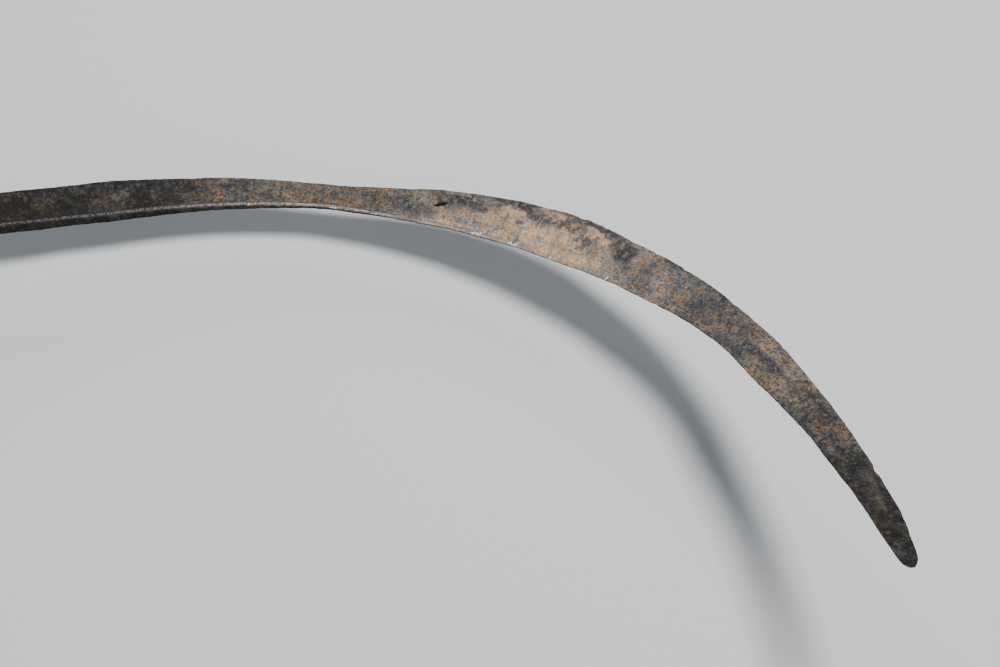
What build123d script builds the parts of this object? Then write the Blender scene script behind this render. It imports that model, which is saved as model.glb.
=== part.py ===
from build123d import *

import os
from math import cos, radians, sin

# Hook knife: a hand-forged, narrow hooked blade whose strip tang is held between two wooden
# half handles, with an iron bolster in front, three peened rivets and a tube to hang it by.
# The part lies on its side. +X runs from the handle to the blade, +Z is up, and the underside
# of the handle is at z = 0. The hook turns towards -Y, and its edge is the concave border.
# The origin is on the underside, midway between the front and the middle rivet.
# All sizes are in millimetres and all angles in degrees.

# Handle
HANDLE_THICKNESS = 22.0
HALF_THICKNESS = HANDLE_THICKNESS / 2
HANDLE_REAR_X = -78.0
SCALE_FRONT_X = 30.0
HANDLE_FRONT_X = 44.0
BUTT_LENGTH = 13.0
BUTT_HALF_WIDTH = 14.0
WAIST_X = -44.0
WAIST_HALF_WIDTH = 13.4
SWELL_X = -14.0
SWELL_HALF_WIDTH = 15.5
FRONT_HALF_WIDTH = 11.5
FRONT_CORNER_RADIUS = 5.0
EDGE_ROUNDING = 6.0

# Tang, a flat strip in a mortise that is half in each side of the handle
TANG_WIDTH = 12.0
TANG_THICKNESS = 3.0
TANG_REAR_X = -60.0

# Rivets, peened over ring washers (burrs) that sit in round recesses
RIVET_SPACING = 32.0
RIVET_PLACES = {
    "front": RIVET_SPACING / 2,
    "middle": -RIVET_SPACING / 2,
    "rear": -RIVET_SPACING * 3 / 2,
}
RIVET_RADIUS = 2.5
RIVET_HEAD_RADIUS = 3.8
RIVET_HEAD_HEIGHT = 0.9
BURR_RADIUS = 5.0
BURR_THICKNESS = 1.2
RECESS_DEPTH = 2.4

# Bolster pins
BOLSTER_PIN_RADIUS = 1.5
BOLSTER_PIN_X = 37.0
BOLSTER_PIN_OFFSET = 3.5
BOLSTER_PIN_SHORT_OF_FACE = 0.1

# Hanging tube
TUBE_X = -66.0
TUBE_OUTER_RADIUS = 4.0
TUBE_BORE_RADIUS = 3.0

# Blade centre line: runs of constant curvature from the front of the handle to the tip,
# each with its length, its turn to the left and its change of pitch.
BLADE_RUNS = (
    (20.0, 24.0, -5.0),
    (20.0, 0.0, 2.0),
    (40.0, -16.5, 5.0),
    (20.0, -5.5, 6.0),
    (70.0, -49.0, 12.5),
    (51.0, -21.5, 1.0),
)
# Blade cross-sections: distance from the handle, width, thickness, thickness of the land at
# the concave border, and roll that lifts the concave border.
BLADE_SECTIONS = (
    (0.0, 12.0, 3.0, 2.0, 0.0),
    (10.0, 10.0, 3.0, 2.0, 6.0),
    (20.0, 8.2, 2.9, 2.0, 12.0),
    (40.0, 8.1, 2.8, 1.8, 12.0),
    (60.0, 6.8, 2.6, 1.2, 12.0),
    (80.0, 5.5, 2.5, 0.5, 12.0),
    (95.0, 7.4, 2.4, 0.4, 8.0),
    (110.0, 9.9, 2.4, 0.4, 4.0),
    (125.0, 10.6, 2.4, 0.4, 0.0),
    (140.0, 9.7, 2.3, 0.4, 0.0),
    (155.0, 8.8, 2.2, 0.4, 0.0),
    (170.0, 8.0, 2.1, 0.4, 0.0),
    (185.0, 7.1, 1.9, 0.4, 0.0),
    (200.0, 6.0, 1.7, 0.4, 0.0),
    (211.0, 5.1, 1.4, 0.4, 0.0),
    (217.0, 3.9, 1.2, 0.4, 0.0),
    (221.0, 2.8, 0.9, 0.4, 0.0),
)
BEVEL_DROP = 0.3
BEVEL_SHARE = 0.12
UNDER_BEVEL_SHARE = 0.38
CENTRE_LINE_STEPS = 40


def move_along(point, heading, pitch, distance):
    """The point reached by going straight for a distance."""
    level = distance * cos(radians(pitch))
    return Vector(
        point.X + level * cos(radians(heading)),
        point.Y + level * sin(radians(heading)),
        point.Z + distance * sin(radians(pitch)),
    )


def centre_line(distance):
    """Point, heading and pitch of the blade's centre line at a distance from the handle."""
    point = Vector(HANDLE_FRONT_X, 0, HALF_THICKNESS)
    heading = 0.0
    pitch = 0.0
    left = distance
    for length, turn, climb in BLADE_RUNS:
        travelled = min(left, length)
        step = travelled / CENTRE_LINE_STEPS
        for index in range(CENTRE_LINE_STEPS):
            share = (index + 0.5) * step / length
            point = move_along(point, heading + turn * share, pitch + climb * share, step)
        heading += turn * travelled / length
        pitch += climb * travelled / length
        left -= travelled
        if left <= 0:
            break
    return point, heading, pitch


def section_plane(distance, roll):
    """Plane across the blade, with x towards the concave border and y out of the upper face."""
    point, heading, pitch = centre_line(distance)
    across = Vector(sin(radians(heading)), -cos(radians(heading)), 0)
    behind = move_along(Vector(0, 0, 0), heading, pitch, -1)
    return Plane(origin=point, x_dir=across.rotate(Axis((0, 0, 0), behind), roll), z_dir=behind)


def blade_section(distance, width, thickness, land, roll):
    """Six-sided cross-section: flat faces, a square back and a bevelled concave border."""
    half_width = width / 2
    top = thickness / 2
    edge_top = top - BEVEL_DROP * thickness / TANG_THICKNESS
    edge_bottom = max(edge_top - land, -top + BEVEL_DROP / 2)
    outline = Polyline(
        (-half_width, -top),
        (half_width - width * UNDER_BEVEL_SHARE * (1 - land / TANG_THICKNESS), -top),
        (half_width, edge_bottom),
        (half_width, edge_top),
        (half_width - width * BEVEL_SHARE, top),
        (-half_width, top),
        close=True,
    )
    return section_plane(distance, roll) * make_face(outline)


def upright_cylinder(radius, x, y, bottom, top):
    return Pos(x, y, (bottom + top) / 2) * Cylinder(radius, top - bottom)


def tang_strip():
    length = HANDLE_FRONT_X - TANG_REAR_X
    centre = Pos((HANDLE_FRONT_X + TANG_REAR_X) / 2, 0, HALF_THICKNESS)
    return centre * Box(length, TANG_WIDTH, TANG_THICKNESS)


def fastener_holes():
    """The holes of the rivets and the bolster pins, through the whole handle."""
    holes = [upright_cylinder(RIVET_RADIUS, x, 0, 0, HANDLE_THICKNESS) for x in RIVET_PLACES.values()]
    for side in (-1, 1):
        y = side * BOLSTER_PIN_OFFSET
        holes.append(upright_cylinder(BOLSTER_PIN_RADIUS, BOLSTER_PIN_X, y, 0, HANDLE_THICKNESS))
    return holes


def make_blade():
    """Hooked blade and tang in one forging."""
    hook = loft([blade_section(*section) for section in BLADE_SECTIONS])
    return (tang_strip() + hook) - fastener_holes()


def handle_outline():
    """The handle seen from above, with a palm swell and a rounded butt."""
    butt_x = HANDLE_REAR_X + BUTT_LENGTH
    side = Spline(
        (HANDLE_FRONT_X, FRONT_HALF_WIDTH),
        (SWELL_X, SWELL_HALF_WIDTH),
        (WAIST_X, WAIST_HALF_WIDTH),
        (butt_x, BUTT_HALF_WIDTH),
        tangents=((-1, 0.1), (-1, 0)),
    )
    butt = EllipticalCenterArc((butt_x, 0), BUTT_LENGTH, BUTT_HALF_WIDTH, start_angle=90, arc_size=180)
    front = Line(
        (HANDLE_FRONT_X, -FRONT_HALF_WIDTH),
        (HANDLE_FRONT_X, FRONT_HALF_WIDTH),
    )
    outline = make_face([side, butt, mirror(side, Plane.XZ), front])
    corners = outline.vertices().sort_by(Axis.X)[-2:]
    return fillet(corners, FRONT_CORNER_RADIUS)


def upper_half_handle():
    """Upper half of the handle, wood and bolster in one, before it is cut at their joint."""
    blank = Pos(0, 0, HALF_THICKNESS) * extrude(handle_outline(), HALF_THICKNESS)
    rim = blank.faces().sort_by(Axis.Z)[-1].edges()
    half = fillet(rim, EDGE_ROUNDING)
    half -= tang_strip()
    half -= fastener_holes()
    half -= upright_cylinder(TUBE_OUTER_RADIUS, TUBE_X, 0, 0, HANDLE_THICKNESS)
    recess_floor = HANDLE_THICKNESS - RECESS_DEPTH
    for x in RIVET_PLACES.values():
        half -= upright_cylinder(BURR_RADIUS, x, 0, recess_floor, HANDLE_THICKNESS)
    return half


def lower(shape):
    """The same piece for the underside of the handle."""
    return mirror(shape, Plane.XY.offset(HALF_THICKNESS))


def make_rivet(x):
    """Shank with a low peened head on each burr."""
    seat = HANDLE_THICKNESS - RECESS_DEPTH + BURR_THICKNESS
    shank = upright_cylinder(RIVET_RADIUS, x, 0, HANDLE_THICKNESS - seat, seat)
    crown_radius = RIVET_HEAD_RADIUS - RIVET_HEAD_HEIGHT
    head = Pos(x, 0, seat + RIVET_HEAD_HEIGHT / 2) * Cone(RIVET_HEAD_RADIUS, crown_radius, RIVET_HEAD_HEIGHT)
    return shank + head + lower(head)


def make_upper_burr(x):
    floor = HANDLE_THICKNESS - RECESS_DEPTH
    ring = upright_cylinder(BURR_RADIUS, x, 0, floor, floor + BURR_THICKNESS)
    return ring - upright_cylinder(RIVET_RADIUS, x, 0, floor, floor + BURR_THICKNESS)


def make_bolster_pin(y):
    bottom = BOLSTER_PIN_SHORT_OF_FACE
    return upright_cylinder(BOLSTER_PIN_RADIUS, BOLSTER_PIN_X, y, bottom, HANDLE_THICKNESS - bottom)


def make_hanging_tube():
    tube = upright_cylinder(TUBE_OUTER_RADIUS, TUBE_X, 0, 0, HANDLE_THICKNESS)
    return tube - upright_cylinder(TUBE_BORE_RADIUS, TUBE_X, 0, 0, HANDLE_THICKNESS)


def make_parts():
    half = upper_half_handle()
    joint = Plane.YZ.offset(SCALE_FRONT_X)
    bolster = split(half, joint, keep=Keep.TOP)
    scale = split(half, joint, keep=Keep.BOTTOM)
    parts = {
        "blade": make_blade(),
        "scale_upper": scale,
        "scale_lower": lower(scale),
        "bolster_upper": bolster,
        "bolster_lower": lower(bolster),
        "bolster_pin_right": make_bolster_pin(-BOLSTER_PIN_OFFSET),
        "bolster_pin_left": make_bolster_pin(BOLSTER_PIN_OFFSET),
        "hanging_tube": make_hanging_tube(),
    }
    for place, x in RIVET_PLACES.items():
        burr = make_upper_burr(x)
        parts["rivet_" + place] = make_rivet(x)
        parts["burr_upper_" + place] = burr
        parts["burr_lower_" + place] = lower(burr)
    return parts


os.makedirs("parts", exist_ok=True)
for name, shape in make_parts().items():
    export_step(shape, "parts/" + name + ".step")
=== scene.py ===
import math

import bmesh
import bpy
import numpy as np
from mathutils import Matrix, Vector


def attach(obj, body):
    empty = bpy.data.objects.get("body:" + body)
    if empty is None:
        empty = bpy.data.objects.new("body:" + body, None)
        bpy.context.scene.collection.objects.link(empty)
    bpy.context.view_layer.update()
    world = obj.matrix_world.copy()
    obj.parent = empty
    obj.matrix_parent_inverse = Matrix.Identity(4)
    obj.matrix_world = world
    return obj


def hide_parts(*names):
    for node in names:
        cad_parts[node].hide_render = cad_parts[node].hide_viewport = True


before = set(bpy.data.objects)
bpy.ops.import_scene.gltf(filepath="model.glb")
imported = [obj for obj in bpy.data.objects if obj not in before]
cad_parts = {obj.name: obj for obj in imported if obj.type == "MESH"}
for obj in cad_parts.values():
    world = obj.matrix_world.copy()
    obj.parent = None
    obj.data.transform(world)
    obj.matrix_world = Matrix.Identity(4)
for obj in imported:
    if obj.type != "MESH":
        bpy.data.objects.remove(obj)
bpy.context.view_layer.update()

# Hook knife, shown lying on its side. Meshes are worked out in millimetres in the row frame
# (+X from handle to blade, +Z up, the hook turns towards -Y) and turned into metres at the end.

MM = 0.001

# Handle, tang and fastenings, with the sizes of the CAD model
HANDLE_FRONT_X = 44.0
SCALE_FRONT_X = 30.0
HANDLE_THICKNESS = 22.0
HALF_THICKNESS = HANDLE_THICKNESS / 2
SWELL_HALF_WIDTH = 15.5
TANG_REAR_X = -60.0
TANG_WIDTH = 12.0
TANG_THICKNESS = 3.0
RIVET_PLACES = {"front": 16.0, "middle": -16.0, "rear": -48.0}
RIVET_RADIUS = 2.5
RIVET_HEAD_RADIUS = 3.8
RIVET_HEAD_HEIGHT = 0.9
BURR_RADIUS = 5.0
BURR_THICKNESS = 1.2
RECESS_DEPTH = 2.4
BOLSTER_PIN_RADIUS = 1.5
BOLSTER_PIN_X = 37.0
BOLSTER_PIN_OFFSET = 3.5
TUBE_X = -66.0
TUBE_OUTER_RADIUS = 4.0
TUBE_BORE_RADIUS = 3.0

# Blade centre line: runs of constant curvature, each with its length in millimetres, and its turn
# to the left and its change of pitch in degrees
BLADE_RUNS = (
    (20.0, 24.0, -5.0),
    (20.0, 0.0, 2.0),
    (40.0, -16.5, 5.0),
    (20.0, -5.5, 6.0),
    (70.0, -49.0, 12.5),
    (51.0, -21.5, 1.0),
)
BLADE_LENGTH = sum(run[0] for run in BLADE_RUNS)
# Distance from the handle, width, thickness, land at the concave border, and roll in degrees. The
# land is a little thinner than in the CAD model, for a worn edge.
BLADE_SECTIONS = (
    (0.0, 12.0, 3.0, 2.0, 0.0),
    (10.0, 10.0, 3.0, 2.0, 6.0),
    (20.0, 8.2, 2.9, 2.0, 12.0),
    (40.0, 8.1, 2.8, 1.8, 12.0),
    (60.0, 6.8, 2.6, 1.2, 12.0),
    (80.0, 5.5, 2.5, 0.5, 12.0),
    (95.0, 7.4, 2.4, 0.35, 8.0),
    (110.0, 9.9, 2.4, 0.3, 4.0),
    (125.0, 10.6, 2.4, 0.3, 0.0),
    (140.0, 9.7, 2.3, 0.3, 0.0),
    (155.0, 8.8, 2.2, 0.3, 0.0),
    (170.0, 8.0, 2.1, 0.3, 0.0),
    (185.0, 7.1, 1.9, 0.3, 0.0),
    (200.0, 6.0, 1.7, 0.3, 0.0),
    (211.0, 5.1, 1.4, 0.3, 0.0),
    (217.0, 3.9, 1.2, 0.3, 0.0),
    (221.0, 2.8, 0.9, 0.3, 0.0),
)
BEVEL_WIDTH = 0.65
BEVEL_DROP = 0.3
UNDER_BEVEL_SHARE = 0.38
TIP_ROUNDING = 2.2
TIP_CAP = 0.12
ROLL_LENGTH = 4.0

# Mesh density of the blade: rings along it, rings that its sizes are smoothed over, and samples on
# each side of its six-sided section
RING_STEP = 0.25
TANG_STEP = 4.0
SMOOTHED_RINGS = 41
SECTION_SAMPLES = {"top": 36, "bevel": 8, "land": 3, "under": 12, "bottom": 20, "back": 9}

# Where dark forge scale is left on the upper face: distance along the blade, place across it
# from -1 at the back to 1 at the edge, half length, half width across, and strength
SCALE_PATCHES = (
    (28.0, -0.70, 9.0, 0.30, 0.70),
    (40.0, -0.72, 8.0, 0.30, 0.95),
    (52.0, 0.10, 7.0, 0.50, 0.45),
    (62.0, -0.45, 7.0, 0.40, 0.80),
    (74.0, -0.40, 6.0, 0.45, 0.55),
    (95.5, 0.05, 5.0, 0.50, 0.90),
    (103.5, -0.60, 4.5, 0.50, 1.00),
    (108.0, -0.40, 5.0, 0.40, 0.95),
    (115.5, 0.00, 3.0, 0.30, 0.50),
    (112.0, -0.85, 9.0, 0.34, 1.00),
    (119.5, -0.55, 4.5, 0.40, 0.65),
    (124.0, -0.68, 5.0, 0.32, 0.75),
    (129.0, -0.25, 3.0, 0.40, 0.55),
    (131.0, -0.92, 7.0, 0.22, 1.00),
    (136.0, -0.40, 3.5, 0.50, 1.05),
    (139.5, -0.10, 3.0, 0.40, 0.70),
    (143.5, 0.60, 3.0, 0.25, 0.60),
    (147.0, -0.85, 6.0, 0.30, 0.75),
    (154.5, 0.00, 4.0, 0.45, 0.70),
    (159.0, -0.50, 5.0, 0.45, 0.75),
    (165.5, 0.60, 5.0, 0.30, 0.80),
    (170.0, -0.05, 7.0, 0.26, 1.00),
    (178.5, 0.02, 6.0, 0.26, 1.00),
    (186.0, -0.40, 6.0, 0.45, 0.90),
    (191.0, 0.80, 8.0, 0.35, 0.95),
    (198.0, -0.20, 6.0, 0.50, 0.85),
    (204.0, -0.80, 6.0, 0.35, 0.90),
    (216.0, 0.10, 8.0, 0.90, 0.60),
)
# How light the rust is, at distances along the blade. This is partly the rust's own colour and partly
# painted shade, which makes the blade darker towards the handle end and towards the tip.
RUST_AND_SHADE_TONES = (
    (0, 0.0), (37, 0.0), (50, 0.02), (63, 0.29), (76, 0.27), (85, 0.31), (92, 0.30), (99, 0.62),
    (112, 0.90), (124, 1.0), (132, 1.0), (136, 0.80), (141, 0.50), (147, 0.60), (156, 0.20), (168, 0.46),
    (177, 0.38), (188, 0.20), (197, 0.10), (204, 0.04), (210, 0.0), (221, 0.0),
)
# The rust is lighter still beside the edge: distance along the blade, half length and strength
PALE_EDGE = (105.0, 22.0, 0.35)
# Places where the edge is rubbed bare, with a bright glint painted on it as a painted highlight, as distance
# along the blade, half length and strength
RUBBED_GLINT_STROKES = (
    (65.0, 0.5, 0.8), (75.0, 0.6, 0.9), (81.0, 1.6, 0.9), (89.0, 1.6, 1.0), (93.0, 1.5, 0.6),
    (99.0, 2.5, 0.5), (109.0, 2.2, 1.0), (116.2, 2.2, 1.0), (124.3, 0.6, 0.9), (136.5, 0.5, 0.7),
    (149.0, 4.0, 0.4),
)
# How bright the ground edge is, at distances along the blade: partly its polish and partly painted shade,
# which keeps it dark towards the handle end.
EDGE_POLISH_AND_SHADE = (
    (0, 0.0), (30, 0.0), (45, 0.10), (60, 0.30), (70, 0.55), (80, 0.80), (90, 1.0), (120, 1.0), (150, 0.50),
)
# Swells of the back border: distance along the blade, half length and height
BACK_SWELLS = (
    (34.0, 24.0, 0.50), (72.0, 30.0, 0.40), (98.0, 16.0, 0.55), (127.0, 24.0, 0.40), (165.0, 36.0, 0.70),
)
# Nicks in the back border: distance along the blade, half length and depth
BACK_NICKS = (
    (126.0, 1.0, 0.22), (130.5, 0.8, 0.18), (136.5, 1.6, 0.28), (141.0, 0.9, 0.20),
    (147.0, 0.8, 0.20), (158.0, 1.0, 0.15), (201.0, 1.4, 0.30),
)
# Hollows worn into the edge by sharpening: distance along the blade, half length and depth
EDGE_HOLLOWS = ((105.0, 55.0, 0.25), (159.0, 17.0, 0.80))
# One narrow punch mark in the upper face. Its slant is how far it moves sideways over its half length.
DENT_ALONG = 100.5
DENT_SIDE = -1.2
DENT_HALF_LENGTH = 1.1
DENT_HALF_WIDTH = 0.50
DENT_SLANT = -0.42
DENT_DEPTH = 0.9
# The edge is ground up to the first distance, and less and less from there to the second
GROUND_TO = 80.0
BEVEL_END = 150.0

# Voxel sizes of the handle's meshes, and segments round a turned piece
WOOD_VOXEL = 0.45
BOLSTER_VOXEL = 0.3
LATHE_SEGMENTS = 64

# The view, and how far the floor reaches on each side of the origin
LENS = 70.0
CAMERA_DISTANCE = 350.0
CAMERA_ELEVATION = 62.0
CAMERA_ROLL = 12.7
AIM = Vector((156.2, 2.8, 10.0))
LIGHTS_AIM = Vector((90.0, 0.0, 10.0))
FLOOR_REACH = 8000.0


# -------- noise

def lattice_values(cells, seed):
    """A fixed random number from -1 to 1 for each lattice cell."""
    mixed = cells @ np.array([73856093, 19349663, 83492791]) + seed * 7919
    mixed = (mixed ^ (mixed >> 13)) * 1274126177 & 0xFFFFFFFF
    mixed = (mixed ^ (mixed >> 15)) * 2246822519 & 0xFFFFFFFF
    return ((mixed ^ (mixed >> 16)) & 0xFFFF) / 32767.5 - 1


def smooth_noise(points, cell, seed):
    """Smooth noise from -1 to 1, with features about one cell wide."""
    turned = points @ np.array(Matrix.Rotation(0.7 + seed, 3, (1, 2, 3)))
    scaled = turned / cell
    corner = np.floor(scaled).astype(np.int64)
    part = scaled - corner
    part = part * part * (3 - 2 * part)
    total = np.zeros(len(points))
    for offset in np.ndindex(2, 2, 2):
        weight = np.prod(np.where(offset, part, 1 - part), axis=1)
        total += weight * lattice_values(corner + np.array(offset), seed)
    return total


def layered_noise(points, cell, seed, layers):
    """Several layers of smooth noise, each half as large and as strong as the one before."""
    total = np.zeros(len(points))
    for layer in range(layers):
        total += smooth_noise(points, cell / 2 ** layer, seed + layer) / 2 ** layer
    return total / (2 - 2 ** (1 - layers))


def pits(points, cell, seed, share):
    """Round pits, 1 at their middle and 0 outside, in the given share of the lattice cells."""
    scaled = points / cell
    home = np.floor(scaled).astype(np.int64)
    deepest = np.zeros(len(points))
    for offset in np.ndindex(3, 3, 3):
        cells = home + np.array(offset) - 1
        centre = np.stack([lattice_values(cells, seed + axis) for axis in range(3)], 1)
        away = np.linalg.norm(scaled - cells - 0.5 - 0.35 * centre, axis=1)
        size = 0.3 + 0.2 * lattice_values(cells, seed + 3)
        chosen = lattice_values(cells, seed + 4) < 2 * share - 1
        deepest = np.maximum(deepest, np.where(chosen, np.clip(1 - away / size, 0, 1), 0))
    return deepest


def smooth_step(low, high, value):
    """Smooth rise from 0 at low to 1 at high. It falls where low is the greater."""
    part = np.clip((value - low) / (high - low), 0, 1)
    return part * part * (3 - 2 * part)


# -------- meshes

def link(obj):
    bpy.context.scene.collection.objects.link(obj)
    return obj


def mesh_object(name, points_mm, faces):
    mesh = bpy.data.meshes.new(name)
    mesh.from_pydata([tuple(p) for p in np.asarray(points_mm) * MM], [], faces)
    mesh.update()
    mesh.shade_smooth()
    return link(bpy.data.objects.new(name, mesh))


def points_of(obj):
    """Vertex places of an object's mesh, in millimetres."""
    flat = np.empty(len(obj.data.vertices) * 3)
    obj.data.vertices.foreach_get("co", flat)
    return flat.reshape(-1, 3) / MM


def normals_of(obj):
    """Vertex normals of an object's mesh, as unit vectors."""
    flat = np.empty(len(obj.data.vertices) * 3)
    obj.data.vertex_normals.foreach_get("vector", flat)
    return flat.reshape(-1, 3)


def set_points(obj, points_mm):
    obj.data.vertices.foreach_set("co", (np.asarray(points_mm) * MM).ravel())
    obj.data.update()


def set_attribute(obj, name, values):
    attribute = obj.data.attributes.new(name, "FLOAT", "POINT")
    attribute.data.foreach_set("value", np.asarray(values, np.float32))


def finish_piece(obj, node, material):
    """Puts a new piece in the place of a CAD node."""
    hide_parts(node)
    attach(obj, "root")
    obj.data.materials.clear()
    obj.data.materials.append(material)


def apply_modifiers(obj):
    """Turns an object's modifiers into plain mesh."""
    graph = bpy.context.evaluated_depsgraph_get()
    mesh = bpy.data.meshes.new_from_object(obj.evaluated_get(graph))
    obj.modifiers.clear()
    obj.data = mesh


# -------- blade

def ring_distances():
    """Distance of each ring from the handle's front, which is negative on the tang."""
    tang = np.arange(TANG_REAR_X - HANDLE_FRONT_X, -TANG_STEP / 2, TANG_STEP)
    tang_front = np.array([-1.0, -0.5])
    hook = np.arange(0, BLADE_LENGTH, RING_STEP)
    return np.concatenate([tang, tang_front, hook])


def centre_line(distances):
    """Centre points, and unit vectors ahead, across to the edge and out of the upper face."""
    ends = np.cumsum([0] + [run[0] for run in BLADE_RUNS])
    heading = np.radians(np.interp(distances, ends, np.cumsum([0] + [run[1] for run in BLADE_RUNS])))
    pitch = np.radians(np.interp(distances, ends, np.cumsum([0] + [run[2] for run in BLADE_RUNS])))
    ahead = np.stack([np.cos(heading) * np.cos(pitch), np.sin(heading) * np.cos(pitch), np.sin(pitch)], 1)
    steps = np.diff(distances)[:, None] * (ahead[1:] + ahead[:-1]) / 2
    start = np.array([[TANG_REAR_X, 0, HALF_THICKNESS]])
    points = np.concatenate([start, start + np.cumsum(steps, axis=0)])
    level = np.stack([np.sin(heading), -np.cos(heading), np.zeros(len(heading))], 1)
    return points, ahead, level, np.cross(level, ahead)


def section_sizes(distances):
    """Width, thickness, land and roll at each ring, as smooth curves through the table."""
    table = np.array(BLADE_SECTIONS)
    window = np.hanning(SMOOTHED_RINGS)
    window /= window.sum()
    fine = np.arange(0, BLADE_LENGTH + RING_STEP, RING_STEP)
    sizes = []
    for column in table.T[1:]:
        values = np.interp(fine, table[:, 0], column)
        padded = np.pad(values, len(window) // 2, mode="reflect", reflect_type="odd")
        sizes.append(np.interp(distances, fine, np.convolve(padded, window, mode="valid")))
    return sizes


def section_outline(width, thickness, land, shrink):
    """Outline of every ring, in millimetres across and up, with SECTION_SAMPLES on its sides."""
    half = width / 2
    top = thickness / 2
    edge_top = top - BEVEL_DROP * thickness / TANG_THICKNESS
    edge_bottom = np.maximum(edge_top - land, -top + BEVEL_DROP / 2)
    under = width * UNDER_BEVEL_SHARE * (1 - land / TANG_THICKNESS)
    bevel = np.minimum(BEVEL_WIDTH, width / 4)
    corners = [
        (-half, top),
        (half - bevel, top),
        (half, edge_top),
        (half, edge_bottom),
        (half - under, -top),
        (-half, -top),
        (-half, top),
    ]
    outline = []
    for samples, start, end in zip(SECTION_SAMPLES.values(), corners, corners[1:]):
        for share in np.arange(samples) / samples:
            outline.append([start[axis] + (end[axis] - start[axis]) * share for axis in (0, 1)])
    return np.array(outline).transpose(2, 0, 1) * shrink[:, None, None]


def soften_back(outline):
    """Rounds the two corners of the back, as hammering and rust leave them, and keeps the width."""
    border = outline[:, :, 0].min(axis=1, keepdims=True)
    count = outline.shape[1]
    back = SECTION_SAMPLES["back"]
    index = np.arange(count)
    weight = np.zeros(count)
    for corner in (0, count - back):
        away = np.abs((index - corner + count // 2) % count - count // 2)
        weight = np.maximum(weight, np.clip(1.4 - away / 5, 0, 1))
    for _ in range(5):
        mean = (np.roll(outline, 1, axis=1) + np.roll(outline, -1, axis=1)) / 2
        outline = outline + (mean - outline) * weight[None, :, None]
    side = outline[:, :, 0]
    outline[:, :, 0] = np.where(side < 0, side * border / side.min(axis=1, keepdims=True), side)
    return outline


def bump_at(value, middle, half):
    """A soft bump, 1 at the middle and 0 beyond the half length."""
    return smooth_step(1, 0, np.abs(value - middle) / half)


def uneven_borders(outline, distances):
    """Makes both borders slightly wavy, swells and nicks the back, and hollows the edge."""
    line = np.stack([distances, np.zeros(len(distances)), np.zeros(len(distances))], 1)
    fade = smooth_step(2, 12, distances)
    wave_back = 0.16 * smooth_noise(line, 7.0, 3) + 0.07 * smooth_noise(line, 1.6, 4)
    wave_edge = 0.12 * smooth_noise(line, 9.0, 5) + 0.05 * smooth_noise(line, 1.3, 6)
    for along, half_length, height in BACK_SWELLS:
        wave_back += height * bump_at(distances, along, half_length)
    for along, half_length, depth in BACK_NICKS:
        wave_back -= depth * bump_at(distances, along, half_length)
    for along, half_length, depth in EDGE_HOLLOWS:
        wave_edge -= depth * bump_at(distances, along, half_length)
    half = np.abs(outline[:, :, 0]).max(axis=1, keepdims=True)
    side = outline[:, :, 0] / half
    outline[:, :, 0] += np.where(side < 0, -(side ** 2) * (wave_back * fade)[:, None], 0)
    outline[:, :, 0] += np.where(side > 0, side ** 2 * (wave_edge * fade)[:, None], 0)
    return outline


def scale_field(strip, across, upper):
    """How much dark forge scale lies on each blade vertex, from 0 to 1."""
    drift = 0.9 * smooth_noise(strip, 2.6, 15) + 0.5 * smooth_noise(strip, 1.1, 17)
    along = strip[:, 0] + 2.6 * drift
    side = across + 0.28 * smooth_noise(strip, 2.2, 16) + 0.14 * smooth_noise(strip, 0.9, 18)
    kept = np.zeros(len(strip))
    for place, middle, half_length, half_width, strength in SCALE_PATCHES:
        reach = ((along - place) / half_length) ** 2 + ((side - middle) / half_width) ** 2
        kept = np.maximum(kept, strength * np.exp(-reach))
    back = 0.30 * smooth_step(-0.80, -1.0, across)
    broken = 0.42 * layered_noise(strip, 2.8, 11, 5)
    on_face = 0.14 + broken + 0.66 * kept + back
    return np.clip(np.where(upper > 0, on_face, 0.35 + broken), 0, 1)


def rubbed_glint_field(strip, across, upper):
    """How strongly the edge is rubbed bare and painted with a glint, a painted highlight, at each blade
    vertex, from 0 to 1.
    """
    rubbed_glint = np.zeros(len(strip))
    for place, half_length, strength in RUBBED_GLINT_STROKES:
        rubbed_glint = np.maximum(rubbed_glint, strength * bump_at(strip[:, 0], place, half_length))
    return rubbed_glint * smooth_step(0.70, 0.88, across) * upper


def dent_field(strip, upper):
    """The punch mark, 1 at its bottom and 0 outside."""
    lengthwise = (strip[:, 0] - DENT_ALONG) / DENT_HALF_LENGTH
    crosswise = (strip[:, 1] - DENT_SIDE - DENT_SLANT * lengthwise) / DENT_HALF_WIDTH
    return upper * smooth_step(1.4, 0.7, np.hypot(lengthwise, crosswise))


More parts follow.
